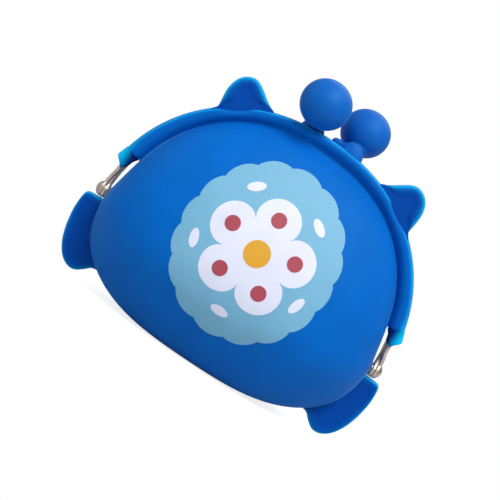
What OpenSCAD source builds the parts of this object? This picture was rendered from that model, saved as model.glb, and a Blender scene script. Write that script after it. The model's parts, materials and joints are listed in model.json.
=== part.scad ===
/* [Pouch] */
// Half width of the pouch at the hinge line
pouch_half_w = 45; // [42:0.5:48]
// Half depth of the pouch at the hinge line
pouch_half_d = 22; // [18:0.5:24]
// Thickness of the silicone wall
wall = 1.2; // [0.9:0.1:1.6]
// Height of the hinge line above the table
hinge_z = 26.3; // [25.5:0.1:28]
// How far the rounded flanks would reach below the flat base that cuts them
base_cut = 1.5; // [0.7:0.1:2.7]
// Power of the rounded ends in plan, 2 is an ellipse and more is squarer
plan_power = 2.5; // [2:0.1:3]

/* [Mouth] */
// How much the pouch widens on each side from the face inside the rim to the hinge line
hip = 2.1; // [1.5:0.1:4]
// Height of the face above the hinge line, up to the groove
face_h = 43.7; // [40:0.1:46]
// Power of the arch, 2 is an ellipse and more is squarer
arch_power = 2.2; // [2:0.1:2.6]
// Depth of the face behind the centre plane along the groove
groove_d = 3.5; // [2.5:0.1:4.5]
// Height above the hinge line at which the rims end
rim_end_h = 11.3; // [9:0.1:14]

/* [Rim] */
// Radial width of the rim at the top
rim_top_w = 3; // [2.8:0.1:4]
// Radial width of the rim when carried down to the hinge line
rim_side_w = 6.2; // [5.5:0.1:7]
// Depth of each rim, front to back
rim_d = 5.8; // [5.6:0.1:7]
// Drop of the thin lip at each end of a rim, on its inner side
lip_drop = 3.4; // [2:0.1:4]

/* [Steel frame] */
// Width of the steel strip, front to back
strip_w = 4.6; // [4:0.1:4.8]
// Thickness of the steel strip
strip_t = 0.9; // [0.7:0.1:1]
// Distance from the centre plane to each strip
strip_gap = 0.5; // [0.4:0.1:0.8]
// Radius of the eye at the end of each leg
eye_r = 2.4; // [2.2:0.1:2.8]
// Radius of the rivet shank
rivet_r = 1; // [0.8:0.1:1.2]
// Radius of the rivet's domed head
rivet_head_r = 2.2; // [1.9:0.1:2.4]
// Height of the rivet's domed head
rivet_head_h = 1.3; // [1:0.1:1.6]

/* [Kiss lock] */
// Radius of each silicone ball
ball_r = 7.1; // [6.5:0.1:7.3]
// Height of the ball centres above the top of the rims
ball_up = 7.9; // [7.3:0.1:10]
// Lean of each ball across the centre plane
ball_lean = 6; // [5:0.1:7]
// Radius of the steel bead inside each ball
bead_r = 5; // [4:0.1:5.4]
// Radius of the neck under each ball
neck_r = 2.65; // [2.3:0.05:2.8]
// Sideways place of each neck
neck_x = 6.2; // [5.6:0.1:7]
// Radius of the flared skirt where a neck meets its rim
skirt_r = 4.2; // [3.6:0.1:4.6]
// Radius of the steel post inside each neck
post_r = 1; // [0.8:0.1:1.2]

/* [Ears] */
// Sideways place of the centre of each ear's tip
ear_x = 27.75; // [26:0.25:29]
// Height of the centre of each ear's tip above the rim under it
ear_up = 5.2; // [4:0.1:8]
// Radius of each ear's tip
ear_r = 4.3; // [3.5:0.1:5]
// Thickness of each ear
ear_t = 3.8; // [3:0.1:4.6]
// Sideways place of the inner foot of each ear
ear_foot_x = 19.6; // [18:0.1:21]

/* [Wings] */
// How far each wing stands out past the side of the pouch
wing_out = 5; // [4:0.5:7]
// Half width of one wing
wing_half_w = 9; // [7:0.5:10]
// Depth of the widest place of the wings below the hinge line
wing_drop = 12.3; // [11.3:0.1:13.3]
// Height from the widest place to the wing's top
wing_up = 10.2; // [9:0.1:10.4]
// Height from the widest place to the wing's tip
wing_down = 12.2; // [10:0.1:12.6]
// Thickness of each wing
wing_t = 2.4; // [1.8:0.1:3]

/* [Print] */
// Radius of the printed medallion
print_r = 21.5; // [16:0.5:23]
// Height of the medallion's centre above the hinge line
print_h = 12; // [10:0.5:14]
// Number of scallops round the medallion
print_scallops = 12; // [8:1:18]
// Radius of the printed flower
flower_r = 15.5; // [12:0.5:17]
// Number of petals of the printed flower
petals = 5; // [4:1:8]
// Radius of the flower's eye
flower_eye_r = 3.6; // [3:0.1:4.5]
// Thickness of one coat of ink
ink_t = 0.15; // [0.1:0.05:0.25]

/* [Motion] */
// How far each half opens
open_angle = 35; // [20:1:36]
// Angle by which the face laps over the bowl below the hinge line
lap_angle = 3; // [2:0.5:5]

/* [Fits] */
// Gap between parts that slide over each other
slide_gap = 0.3; // [0.25:0.05:0.4]
// Gap between parts of the moulding that meet
seam_gap = 0.1; // [0.05:0.05:0.15]
// Radial running clearance of the rivets
pivot_gap = 0.05; // [0.02:0.01:0.1]
// Play between the balls as they pass each other
ball_gap = 0.15; // [0.1:0.05:0.3]

/* [Hidden] */

silicone_blue = "#1464be";
deep_blue = "#0f50a0";
rim_blue = "#0c58b4";
nickel = "#c8bea8";
pale_blue = "#7db9d2";
lilac_white = "#d7dcf0";
dark_red = "#a54655";
ochre = "#d7a02d";

// Half the gap that parts the front and back halves at their sides
half_gap = slide_gap / 2 + seam_gap;
// Radius kept free round the hinge line where walls end on it
axis_hole = 0.5;
bowl_axis_hole = axis_hole + slide_gap;
// The bowl is drawn in sideways so that the opening face clears it
side_ease = 0.7;
// Half width of the face inside the rim, carried down to the hinge line
face_half_w = pouch_half_w - hip;
hip_power = 1.5;
// Upright profile of the face, from the hinge line to the groove
face_rise_power = 1.8;
face_fall_power = 1.2;
// How far the rounded flanks reach below the hinge line before the base cuts them
base_reach = hinge_z + base_cut;
// Swelling of the flanks below the swept band, 1 is straight
flank_swell_factor = 1.25;
// Sharpness with which the flanks round into the base
base_soft_power = 24;
base_soft_drop = 1.5;
// The bowl steps out to the full skin just below the band that the faces sweep over
spare_angle = 1.5;
swept_angle = open_angle + lap_angle + spare_angle;
step_angle = 2.5;

rim_out_a = face_half_w + rim_side_w;
rim_out_b = face_h + rim_top_w;
rim_y0 = half_gap;
rim_y1 = half_gap + rim_d;
rim_power = 3.6;
slot_power = 10;
slot_gap = 0.15;

// Legs of the two bows lie side by side on the rivet, the front one outside
plate_gap = 0.1;
tail_t = 0.3;
tail_r = 1.7;
tail_gap = 0.25;
tail_x = pouch_half_w + tail_gap;
back_plate_x = tail_x + tail_t + pivot_gap;
front_plate_x = back_plate_x + strip_t + plate_gap;
head_x = front_plate_x + strip_t + pivot_gap;
back_bow_a = back_plate_x + strip_t / 2;
front_bow_a = front_plate_x + strip_t / 2;
// The strip runs a touch above the middle of the rim
strip_lift = 0.05;
bow_b = face_h + rim_top_w / 2 + strip_lift;
// Each leg's flat eye plate starts here, a little above the end of the bent strip
plate_h = 6.2;
strip_end_h = 5.2;
strip_mid_y = strip_gap + strip_w / 2;
// The plate's outline turns round its eye between these angles
eye_from_angle = 20;
eye_step_angle = 15;
eye_to_angle = -145;

ball_x = ball_r + ball_gap / 2;
ball_h = rim_out_b + ball_up;
elbow_up = 1.3;
elbow_h = rim_out_b + elbow_up;
neck_y = rim_y0 + rim_d / 2;
skirt_h = 2.2;
skirt_taper = 0.55;
skirt_top_r = neck_r - skirt_taper;
skirt_side = 0.4;
// Elbows are a touch fatter than the rods they join
elbow_swell = 0.05;
post_sink = 3;

fine_facets = 96;
plain_facets = 48;
arch_steps = 44;
// Rounded plan curves stop one degree short of the centre plane
plan_end_angle = 89;
plan_steps = 20;
// How far a cut runs past the piece that it cuts
past = 1;

// Power that keeps the sign
function spow(v, e) = sign(v) * pow(abs(v), e);
function ease(u) = let (c = min(max(u, 0), 1)) c * c * (3 - 2 * c);
// Smallest of a list, with the corner between two of them rounded off
function soft_min(v, k) = pow([for (i = v) pow(i, -k)] * [for (i = v) 1], -1 / k);

// Point of an arch with half width a and height b above the hinge line
function arch(a, b, t) =
  [a * spow(cos(t), 2 / arch_power), b * spow(sin(t), 2 / arch_power)];
// Angle at which an arch of height b passes height h
function arch_angle(b, h) = asin(pow(h / b, arch_power / 2));
// Height of an arch over a sideways place
function arch_over(a, b, x) = b * pow(1 - pow(abs(x) / a, arch_power), 1 / arch_power);

// Outline of the pouch in front view, height h above the hinge line
function side_x(h) =
  face_half_w * pow(max(1 - pow(h / face_h, arch_power), 0), 1 / arch_power)
  + hip * pow(max(1 - h / rim_end_h, 0), hip_power);
// Depth of the face on the centre line and along its edge
function mid_y(h) = groove_d + (pouch_half_d - groove_d)
  * pow(max(1 - pow(h / face_h, face_rise_power), 0), 1 / face_fall_power);
function edge_y(h) = groove_d * ease(h / rim_end_h);
// Depth of the face at any place
function face_y(x, h) = edge_y(h) + (mid_y(h) - edge_y(h))
  * pow(max(1 - pow(abs(x) / side_x(h), plan_power), 0), 1 / plan_power);

// Rounded plan curve through half width a and depth d, starting at depth e
function plan(a, d, e) = [
  for (i = [0:plan_steps]) let (t = plan_end_angle * (2 * i / plan_steps - 1))
    [a * spow(sin(t), 2 / plan_power), e + (d - e) * pow(cos(t), 2 / plan_power)]
];
// Open ring of wall: outer curve there, inner curve back
function wall_ring(a, d, e, w, g) = concat(
  [[-a, g]], plan(a, d, e), [[a, g]],
  [[a - w, g]], reverse(plan(a - w, d - w, max(e - w, g))), [[w - a, g]]
);
function reverse(v) = [for (i = [len(v) - 1:-1:0]) v[i]];

// Solid through a row of open rings, each a strip of outer and inner points
module strip_solid(rings) {
  m = len(rings[0]);
  n = len(rings);
  half = m / 2;
  polyhedron(
    points = [for (r = rings) for (p = r) p],
    faces = concat(
      [for (k = [0:n - 2]) for (i = [0:m - 1]) let (j = (i + 1) % m)
        each [[k * m + i, k * m + j, (k + 1) * m + j], [k * m + i, (k + 1) * m + j, (k + 1) * m + i]]],
      [for (i = [0:half - 2]) each [[m - 1 - i, i + 1, i], [m - 1 - i, m - 2 - i, i + 1]]],
      [for (i = [0:half - 2]) let (o = (n - 1) * m)
        each [[o + m - 1 - i, o + i, o + i + 1], [o + m - 1 - i, o + i + 1, o + m - 2 - i]]]
    )
  );
}

// Tube through a row of closed rings, each with a hole of as many points
module tube_solid(outer, inner) {
  m = len(outer[0]);
  n = len(outer);
  q = m * n;
  polyhedron(
    points = concat([for (r = outer) for (p = r) p], [for (r = inner) for (p = r) p]),
    faces = concat(
      [for (k = [0:n - 2]) for (i = [0:m - 1]) let (j = (i + 1) % m) each [
        [k * m + i, k * m + j, (k + 1) * m + j], [k * m + i, (k + 1) * m + j, (k + 1) * m + i],
        [q + k * m + j, q + k * m + i, q + (k + 1) * m + j],
        [q + (k + 1) * m + j, q + k * m + i, q + (k + 1) * m + i]
      ]],
      [for (i = [0:m - 1]) let (j = (i + 1) % m) each [[i, q + i, j], [j, q + i, q + j]]],
      [for (i = [0:m - 1]) let (j = (i + 1) % m, o = (n - 1) * m)
        each [[o + j, q + o + i, o + i], [q + o + j, q + o + i, o + j]]]
    )
  );
}

// Point at radius r and angle a below the front, round the hinge line
function swing(p, a) = [p[0], -p[1] * cos(a), hinge_z - p[1] * sin(a)];
function upright(p, h) = [p[0], -p[1], hinge_z + h];

// Front face of the pouch: a lap below the hinge line, then rings up to the groove
face_angles = [0, each [4:5:84], 87];
function face_rings() = concat(
  [for (a = [lap_angle, lap_angle / 2])
    [for (p = wall_ring(pouch_half_w, pouch_half_d, 0, wall, axis_hole)) swing(p, a)]],
  [for (t = face_angles) let (h = arch(face_half_w, face_h, t)[1], g = t == 0 ? axis_hole : half_gap)
    [for (p = wall_ring(side_x(h), mid_y(h), edge_y(h), wall, g)) upright(p, h)]]
);

// Reach of the bowl's flank at angle a below the front, as a multiple of the plan
function flank(a) = 1 / cos(flank_swell_factor * max(a - swept_angle, 0));
// Reach of the bowl at angle a, rounded into a floor that lies at depth d
function skin_r(r, a, d) =
  soft_min([flank(a) * r, base_reach / pouch_half_d * r, d / sin(a)], base_soft_power);
// Share of the way from the sunk band to the full skin, front and back alike
function skin_share(a) = let (b = min(a, 180 - a)) ease((b - swept_angle) / step_angle);
function bowl_curve(a, inset) = let (
  b = min(a, 180 - a), s = skin_share(a),
  sunk = inset + (wall + slide_gap) * (1 - s),
  half_w = pouch_half_w - sunk - side_ease * (1 - s)
) [for (p = plan(half_w, pouch_half_d - sunk, 0))
    [p[0], b <= swept_angle ? p[1] : inset == 0
      ? skin_r(p[1], b, hinge_z + base_soft_drop)
      : min(skin_r(p[1], b, hinge_z), (hinge_z - inset) / sin(b))]];
function bowl_ring(a) = let (
  o = bowl_curve(a, 0), i = bowl_curve(a, wall), g = bowl_axis_hole
) [for (p = concat([[o[0][0], g]], o, [[-o[0][0], g]], [[-i[0][0], g]], reverse(i), [[i[0][0], g]]))
    swing(p, a)];
band_rings = 4;
base_rings = 14;
base_ring_angle = 6;
flank_from = swept_angle + step_angle + base_ring_angle;
front_angles = concat(
  [for (i = [0:band_rings]) swept_angle * i / band_rings],
  [swept_angle + step_angle / 2, swept_angle + step_angle]
);
bowl_angles = concat(
  front_angles,
  [for (i = [0:base_rings]) flank_from + (180 - 2 * flank_from) * i / base_rings],
  [for (a = reverse(front_angles)) 180 - a]
);

module pouch_bowl() {
  color(silicone_blue) difference() {
    strip_solid([for (a = bowl_angles) bowl_ring(a)]);
    translate([-pouch_half_w, -pouch_half_d, -base_soft_drop - past])
      cube([2 * pouch_half_w, 2 * pouch_half_d, base_soft_drop + past]);
  }
}

module panel() {
  color(silicone_blue) strip_solid(reverse(face_rings()));
}

// Outline of the pouch's flank below the hinge line, depth d
function flank_x(d) = pouch_half_w * pow(1 - pow(d / base_reach, plan_power), 1 / plan_power);
wing_mid_x = pouch_half_w + wing_out - wing_half_w;
wing_mid_z = hinge_z - wing_drop;
wing_up_power = 2.8;
wing_root_depth = 20;
wing_root_steps = 8;
// Round part of the wing's outline, from just past the tip to where it meets the pouch
wing_from_angle = -94;
wing_step_angle = 6;
wing_to_angle = 56;
function wing_edge(t) = t > 0
  ? [wing_mid_x + wing_half_w * spow(cos(t), 2 / wing_up_power),
     wing_mid_z + wing_up * spow(sin(t), 2 / wing_up_power)]
  : [wing_mid_x + wing_half_w * cos(t), wing_mid_z + wing_down * sin(t)];
module wing() {
  top_depth = wing_drop - wing_up;
  color(deep_blue) rotate([90, 0, 0]) linear_extrude(wing_t, center = true) polygon(concat(
    [for (t = [wing_from_angle:wing_step_angle:wing_to_angle]) wing_edge(t)],
    [for (i = [0:wing_root_steps]) let (d = top_depth + (wing_root_depth - top_depth) * i / wing_root_steps)
      [flank_x(d) + seam_gap, hinge_z - d]]
  ));
}

// Half a rim: a soft tube round the steel strip, with a thin lip at each end
function rim_section(power, n) = [
  for (i = [0:n - 1]) let (t = 360 * i / n)
    [spow(cos(t), 2 / power), spow(sin(t), 2 / power)]
];
rim_points = 16;
// Each end lip is cut slanting, stepped in from the rim, and covers its outer side alone
lip_share = 0.42;
lip_in = 0.5;
lip_reach = 1.4;
lip_step_angle = 0.05;
// Point of the rim at arch angle t, share s from inner to outer side, depth y
function rim_point(t, s, y, drop) = let (
  i = arch(face_half_w + seam_gap, face_h + seam_gap, t),
  o = arch(rim_out_a, rim_out_b, t),
  p = i + (o - i) * s
) [p[0], -y, hinge_z + p[1] - drop * (1 - s)];
function rim_ring(t, s0, y_in, drop) = [
  for (p = rim_section(rim_power, rim_points))
    rim_point(t, (1 + s0) / 2 + (1 - s0) / 2 * p[0],
      (rim_y0 + rim_y1) / 2 + ((rim_y1 - rim_y0) / 2 - y_in) * p[1], drop)
];
function slot_ring(t, a, drop) = [
  for (p = rim_section(slot_power, rim_points)) let (
    reach = strip_t / 2 + slot_gap,
    c = arch(a + reach * p[0], bow_b + reach * p[0], t),
    s = (a + reach * p[0] - face_half_w) / rim_side_w)
    [c[0], -strip_mid_y - (strip_w / 2 + slot_gap) * p[1], hinge_z + c[1] - drop * (1 - s)]
];
module rim_sleeve(bow_a) {
  end_t = arch_angle(rim_out_b, rim_end_h);
  lip_t = arch_angle(rim_out_b, rim_end_h - lip_reach);
  step_t = end_t - lip_step_angle;
  mids = [for (i = [0:arch_steps]) end_t + (180 - 2 * end_t) * i / arch_steps];
  color(rim_blue) difference() {
    tube_solid(
      concat([rim_ring(lip_t, lip_share, lip_in, lip_drop), rim_ring(step_t, lip_share, lip_in, 0)],
        [for (t = mids) rim_ring(t, 0, 0, 0)],
        [rim_ring(180 - step_t, lip_share, lip_in, 0), rim_ring(180 - lip_t, lip_share, lip_in, lip_drop)]),
      concat([slot_ring(lip_t, bow_a, lip_drop), slot_ring(step_t, bow_a, 0)],
        [for (t = mids) slot_ring(t, bow_a, 0)],
        [slot_ring(180 - step_t, bow_a, 0), slot_ring(180 - lip_t, bow_a, lip_drop)])
    );
    translate([neck_x, -neck_y, hinge_z + bow_b])
      cylinder(r = post_r + slot_gap, h = rim_top_w, $fn = plain_facets);
  }
}

// Steel bow: a strip bent to the arch, with a flat eye at the end of each leg
module frame_bow(bow_a, plate_x) {
  end_t = arch_angle(bow_b, strip_end_h);
  turns = [for (i = [0:arch_steps]) end_t + (180 - 2 * end_t) * i / arch_steps];
  color(nickel) difference() {
    union() {
      translate([0, -strip_gap, hinge_z]) rotate([90, 0, 0]) linear_extrude(strip_w) polygon(concat(
        [for (t = turns) arch(bow_a + strip_t / 2, bow_b + strip_t / 2, t)],
        [for (t = reverse(turns)) arch(bow_a - strip_t / 2, bow_b - strip_t / 2, t)]
      ));
      for (side = [0, 1]) mirror([side, 0, 0]) translate([plate_x, 0, hinge_z])
        rotate([90, 0, 90]) linear_extrude(strip_t) polygon(concat(
          [[-strip_gap - strip_w, plate_h], [-strip_gap, plate_h]],
          [for (t = [eye_from_angle:-eye_step_angle:eye_to_angle]) eye_r * [cos(t), sin(t)]]
        ));
    }
    for (side = [0, 1]) mirror([side, 0, 0]) translate([plate_x - past, 0, hinge_z])
      rotate([0, 90, 0]) cylinder(r = rivet_r + pivot_gap, h = strip_t + 2 * past, $fn = plain_facets);
  }
}

// Rivet: a shank with a thin tail inside and a domed head outside
module rivet() {
  dome_r = (rivet_head_r * rivet_head_r + rivet_head_h * rivet_head_h) / (2 * rivet_head_h);
  dome_a = asin(rivet_head_r / dome_r);
  dome_steps = 8;
  color(nickel) translate([0, 0, hinge_z]) rotate([0, 90, 0])
    rotate_extrude($fn = plain_facets) polygon(concat(
    [[0, tail_x], [tail_r, tail_x], [tail_r, tail_x + tail_t], [rivet_r, tail_x + tail_t],
     [rivet_r, head_x], [rivet_head_r, head_x]],
    [for (i = [1:dome_steps]) let (t = dome_a * (1 - i / dome_steps))
      [dome_r * sin(t), head_x + rivet_head_h - dome_r * (1 - cos(t))]]
  ));
}

elbow = [neck_x, -neck_y, hinge_z + elbow_h];
ball = [ball_x, ball_lean, hinge_z + ball_h];
neck_len = norm(ball - elbow);
neck_tilt = acos((ball[2] - elbow[2]) / neck_len);
neck_turn = atan2(ball[1] - elbow[1], ball[0] - elbow[0]);
module along_neck() {
  translate(elbow) rotate([0, 0, neck_turn]) rotate([0, neck_tilt, 0]) children();
}

// Steel post welded on the bow, bent back to carry the bead
module kiss_post(bow_a) {
  foot = arch_over(bow_a + strip_t / 2, bow_b + strip_t / 2, neck_x - post_r) + pivot_gap;
  color(nickel) {
    translate([neck_x, -neck_y, hinge_z + foot]) cylinder(r = post_r, h = elbow_h - foot, $fn = plain_facets);
    translate(elbow) sphere(r = post_r + elbow_swell, $fn = plain_facets);
    along_neck() cylinder(r = post_r, h = neck_len - bead_r + post_sink - pivot_gap, $fn = plain_facets);
  }
}

module kiss_bead() {
  color(nickel) difference() {
    translate(ball) sphere(r = bead_r, $fn = fine_facets);
    along_neck() cylinder(r = post_r + pivot_gap, h = neck_len - bead_r + post_sink, $fn = plain_facets);
  }
}

// Silicone skin over bead and post, flared where it stands on the rim
module ball_cover() {
  seat = rim_out_b + seam_gap;
  color(silicone_blue) difference() {
    union() {
      translate(ball) sphere(r = ball_r, $fn = fine_facets);
      along_neck() cylinder(r = neck_r, h = neck_len, $fn = plain_facets);
      translate(elbow) sphere(r = neck_r + elbow_swell, $fn = plain_facets);
      translate([neck_x, -neck_y, hinge_z + seat])
        cylinder(r = neck_r, h = elbow_h - seat, $fn = plain_facets);
      intersection() {
        translate([neck_x, -neck_y, hinge_z + seat])
          cylinder(r1 = skirt_r, r2 = skirt_top_r, h = skirt_h, $fn = plain_facets);
        translate([neck_x - skirt_r, skirt_side - rim_y1, hinge_z + seat])
          cube([2 * skirt_r, rim_d - 2 * skirt_side, skirt_h]);
      }
    }
    translate([0, -rim_y1, hinge_z + seat - neck_r - past])
      cube([ball_x * 2, rim_y1 * 2, neck_r + past]);
    translate([neck_x, -neck_y, hinge_z + seat - past])
      cylinder(r = post_r + pivot_gap, h = elbow_h - seat + past, $fn = plain_facets);
    translate(elbow) sphere(r = post_r + elbow_swell + pivot_gap, $fn = plain_facets);
    along_neck() cylinder(r = post_r + pivot_gap, h = neck_len, $fn = plain_facets);
    translate(ball) sphere(r = bead_r + pivot_gap, $fn = fine_facets);
  }
}

// Ear: a rounded triangle standing on the front rim
ear_h = arch_over(rim_out_a, rim_out_b, ear_x) + ear_up;
ear_round_angle = 118;
ear_step_angle = 10;
ear_foot_steps = 6;
// The ear's outer side draws in a little towards its foot
ear_draw = 0.2;
// Share of the rim's spare depth that lies behind the ear
ear_back_share = 1 / 3;
module ear() {
  tip = [ear_x, ear_h];
  foot_end = ear_x + ear_r - ear_draw;
  seat_a = rim_out_a + seam_gap;
  seat_b = rim_out_b + seam_gap;
  color(deep_blue) translate([0, -rim_y0 - (rim_d - ear_t) * ear_back_share, hinge_z]) rotate([90, 0, 0])
    linear_extrude(ear_t) polygon(concat(
      [for (t = [0:ear_step_angle:ear_round_angle]) tip + ear_r * [cos(t), sin(t)]],
      [for (i = [0:ear_foot_steps]) let (x = ear_foot_x + (foot_end - ear_foot_x) * i / ear_foot_steps)
        [x, arch_over(seat_a, seat_b, x)]]
    ));
}

// Coat of ink on the face: polar patch whose outline is a list of radii
print_steps = 60;
ink_rings = 3;
// Ink is cut off level at this height above the hinge line
ink_floor = 1;
module ink_patch(cx, ch, radii, low, high) {
  n = len(radii);
  shares = [for (k = [1:ink_rings]) k / ink_rings];
  function at(i, s, lift) = let (
    t = 360 * i / n, x = cx + radii[i] * s * cos(t), h = ch + radii[i] * s * sin(t)
  ) [x, -face_y(x, h) - lift, hinge_z + h];
  function layer(lift) = concat(
    [[cx, -face_y(cx, ch) - lift, hinge_z + ch]],
    [for (s = shares) for (i = [0:n - 1]) at(i, s, lift)]);
  q = 1 + n * len(shares);
  rim0 = 1 + n * (len(shares) - 1);
  polyhedron(points = concat(layer(low), layer(high)), faces = concat(
    [for (i = [0:n - 1]) let (j = (i + 1) % n) each [[0, 1 + i, 1 + j], [q, q + 1 + j, q + 1 + i]]],
    [for (k = [0:len(shares) - 2]) for (i = [0:n - 1]) let (j = (i + 1) % n, a = 1 + k * n, b = a + n) each [
      [a + i, b + i, b + j], [a + i, b + j, a + j],
      [q + a + i, q + b + j, q + b + i], [q + a + i, q + a + j, q + b + j]]],
    [for (i = [0:n - 1]) let (j = (i + 1) % n) each [
      [rim0 + i, q + rim0 + i, rim0 + j], [rim0 + j, q + rim0 + i, q + rim0 + j]]]
  ));
}
// Room left under the ink for the facets of the face
facet_sag = 0.06;
first_coat = seam_gap + facet_sag;
second_coat = first_coat + ink_t + seam_gap;
third_coat = second_coat + ink_t + seam_gap;
// Radii of a disc cut off level above the lap
function cut_radii(ch, list) = [for (i = [0:len(list) - 1]) let (t = 360 * i / len(list))
  sin(t) < 0 ? min(list[i], (ch - ink_floor) / -sin(t)) : list[i]];
// Share of the radius that the scallops take up
scallop_share = 0.045;
function scallop(t) = print_r * (1 - scallop_share + scallop_share * cos(print_scallops * t));
module print_medallion() {
  radii = [for (i = [0:print_steps - 1]) scallop(360 * i / print_steps)];
  color(pale_blue) ink_patch(0, print_h, cut_radii(print_h, radii), first_coat, first_coat + ink_t);
}

// Share of the radius by which the flower draws in between its petals
petal_share = 0.3;
petal_power = 0.6;
function petal(t) = flower_r
  * (1 - petal_share + petal_share * pow(abs(cos(petals * (t - 90) / 2)), petal_power));
module print_flower() {
  radii = [for (i = [0:print_steps - 1]) petal(360 * i / print_steps)];
  color(lilac_white) ink_patch(0, print_h, cut_radii(print_h, radii), second_coat, second_coat + ink_t);
}

dot_steps = 24;
module ink_dot(x, h, r) {
  ink_patch(x, h, [for (i = [1:dot_steps]) r], third_coat, third_coat + ink_t);
}
module print_eye() {
  color(ochre) ink_dot(0, print_h, flower_eye_r);
}
// One dot of dark ink on each petal
petal_dot_r = 2.4;
petal_dot_share = 0.62;
module print_rings() {
  reach = flower_r * petal_dot_share;
  color(dark_red) for (i = [0:petals - 1]) let (t = 90 + 360 * i / petals)
    ink_dot(reach * cos(t), print_h + reach * sin(t), petal_dot_r);
}

module back() { rotate([0, 0, 180]) children(); }

pouch_bowl();
mirror([1, 0, 0]) wing();  // left_wing
wing();  // right_wing
mirror([1, 0, 0]) rivet();  // left_rivet
rivet();  // right_rivet
frame_bow(front_bow_a, front_plate_x);  // front_frame_bow
kiss_post(front_bow_a);  // front_kiss_post
kiss_bead();  // front_kiss_bead
rim_sleeve(front_bow_a);  // front_rim_sleeve
ball_cover();  // front_ball_cover
panel();  // front_panel
mirror([1, 0, 0]) ear();  // left_ear
ear();  // right_ear
print_medallion();
print_flower();
print_rings();
print_eye();
back() frame_bow(back_bow_a, back_plate_x);  // back_frame_bow
back() kiss_post(back_bow_a);  // back_kiss_post
back() kiss_bead();  // back_kiss_bead
back() rim_sleeve(back_bow_a);  // back_rim_sleeve
back() ball_cover();  // back_ball_cover
back() panel();  // back_panel
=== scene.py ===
import json
import math

import bmesh
import bpy
import numpy as np
from mathutils import Matrix, Vector


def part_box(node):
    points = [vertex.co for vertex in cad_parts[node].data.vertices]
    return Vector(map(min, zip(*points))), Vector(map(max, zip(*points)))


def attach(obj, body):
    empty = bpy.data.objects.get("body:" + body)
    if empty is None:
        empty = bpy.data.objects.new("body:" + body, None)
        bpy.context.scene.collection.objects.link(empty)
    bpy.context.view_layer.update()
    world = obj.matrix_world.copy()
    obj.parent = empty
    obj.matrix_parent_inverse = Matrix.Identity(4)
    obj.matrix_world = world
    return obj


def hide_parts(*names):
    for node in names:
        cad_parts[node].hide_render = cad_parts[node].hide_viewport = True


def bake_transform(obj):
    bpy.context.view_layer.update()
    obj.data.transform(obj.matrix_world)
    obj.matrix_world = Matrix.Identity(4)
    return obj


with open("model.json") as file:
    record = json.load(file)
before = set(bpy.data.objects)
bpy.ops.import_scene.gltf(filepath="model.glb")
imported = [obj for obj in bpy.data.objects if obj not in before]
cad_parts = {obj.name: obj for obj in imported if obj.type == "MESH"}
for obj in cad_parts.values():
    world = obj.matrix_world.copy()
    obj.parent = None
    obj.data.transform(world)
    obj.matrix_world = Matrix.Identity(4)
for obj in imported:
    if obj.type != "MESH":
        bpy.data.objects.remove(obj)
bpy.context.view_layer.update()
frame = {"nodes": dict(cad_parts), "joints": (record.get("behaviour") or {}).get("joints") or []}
scene = bpy.context.scene

# Camera. The photograph looks straight at the printed face, a little from above, and is rolled, so
# that the purse leans clockwise in the picture.
camera_far = 0.225
camera_rise = math.radians(5.5)
camera_turn = math.radians(0)
camera_roll = math.radians(33.8)
camera_aim = Vector((-0.0021, 0, 0.0351))
width_at_aim = 0.1428

away = Vector((
    math.sin(camera_turn) * math.cos(camera_rise),
    -math.cos(camera_turn) * math.cos(camera_rise),
    math.sin(camera_rise),
))
level_right = Vector((0, 0, 1)).cross(away).normalized()
level_up = away.cross(level_right)
right = level_right * math.cos(camera_roll) + level_up * math.sin(camera_roll)
up = level_up * math.cos(camera_roll) - level_right * math.sin(camera_roll)


def placed(name, data):
    """New object in the scene, at the origin."""
    thing = bpy.data.objects.new(name, data)
    scene.collection.objects.link(thing)
    return thing


camera_data = bpy.data.cameras.new("camera")
camera_data.sensor_width = 36
camera_data.lens = camera_data.sensor_width * camera_far / width_at_aim
camera_data.clip_start = 0.01
camera = placed("camera", camera_data)
camera.matrix_world = Matrix.Translation(camera_aim + away * camera_far) @ Matrix((
    (right.x, up.x, away.x), (right.y, up.y, away.y), (right.z, up.z, away.z)
)).to_4x4()
scene.camera = camera


# Steel frame. Two bows of nickel-plated strip turn on a rivet at each side, and each carries a post
# and a bead. The strip is rolled, so its grain runs along it, and handling has dulled the plating.
def add_node(tree, kind, inputs=None, **settings):
    node = tree.nodes.new(kind)
    for name, value in settings.items():
        setattr(node, name, value)
    for name, value in (inputs or {}).items():
        socket = node.inputs[name]
        if isinstance(value, bpy.types.NodeSocket):
            tree.links.new(value, socket)
        else:
            socket.default_value = value
    return node


def new_material(name, **uniform):
    material = bpy.data.materials.new(name)
    material.use_nodes = True
    shader = material.node_tree.nodes["Principled BSDF"]
    for socket, value in uniform.items():
        shader.inputs[socket.replace("_", " ")].default_value = value
    return material, material.node_tree, shader


def ramp(tree, value, start, end, low=0.0, high=1.0):
    """Output that runs from low to high while value runs from start to end."""
    return add_node(tree, "ShaderNodeMapRange", {
        "Value": value, "From Min": start, "From Max": end, "To Min": low, "To Max": high}).outputs[0]


def noise(tree, place, scale, detail):
    return add_node(tree, "ShaderNodeTexNoise", {
        "Vector": place, "Scale": scale, "Detail": detail}).outputs["Fac"]


def mixed(tree, share, under, over):
    """Colour that goes from under to over as share goes from 0 to 1."""
    return add_node(tree, "ShaderNodeMix", {0: share, 6: under, 7: over}, data_type="RGBA").outputs[2]


def maths(tree, operation, *values):
    return add_node(tree, "ShaderNodeMath", dict(enumerate(values)), operation=operation).outputs[0]


def own_place(tree):
    return add_node(tree, "ShaderNodeTexCoord").outputs["Object"]


def surfaced(tree, shader, colour, rough, height, strength, depth):
    """Joins a finish to its shader: colour, roughness, and a bump of some strength and depth."""
    bump = add_node(tree, "ShaderNodeBump", {"Height": height, "Strength": strength, "Distance": depth})
    tree.links.new(colour, shader.inputs["Base Color"])
    tree.links.new(rough, shader.inputs["Roughness"])
    tree.links.new(bump.outputs[0], shader.inputs["Normal"])


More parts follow.
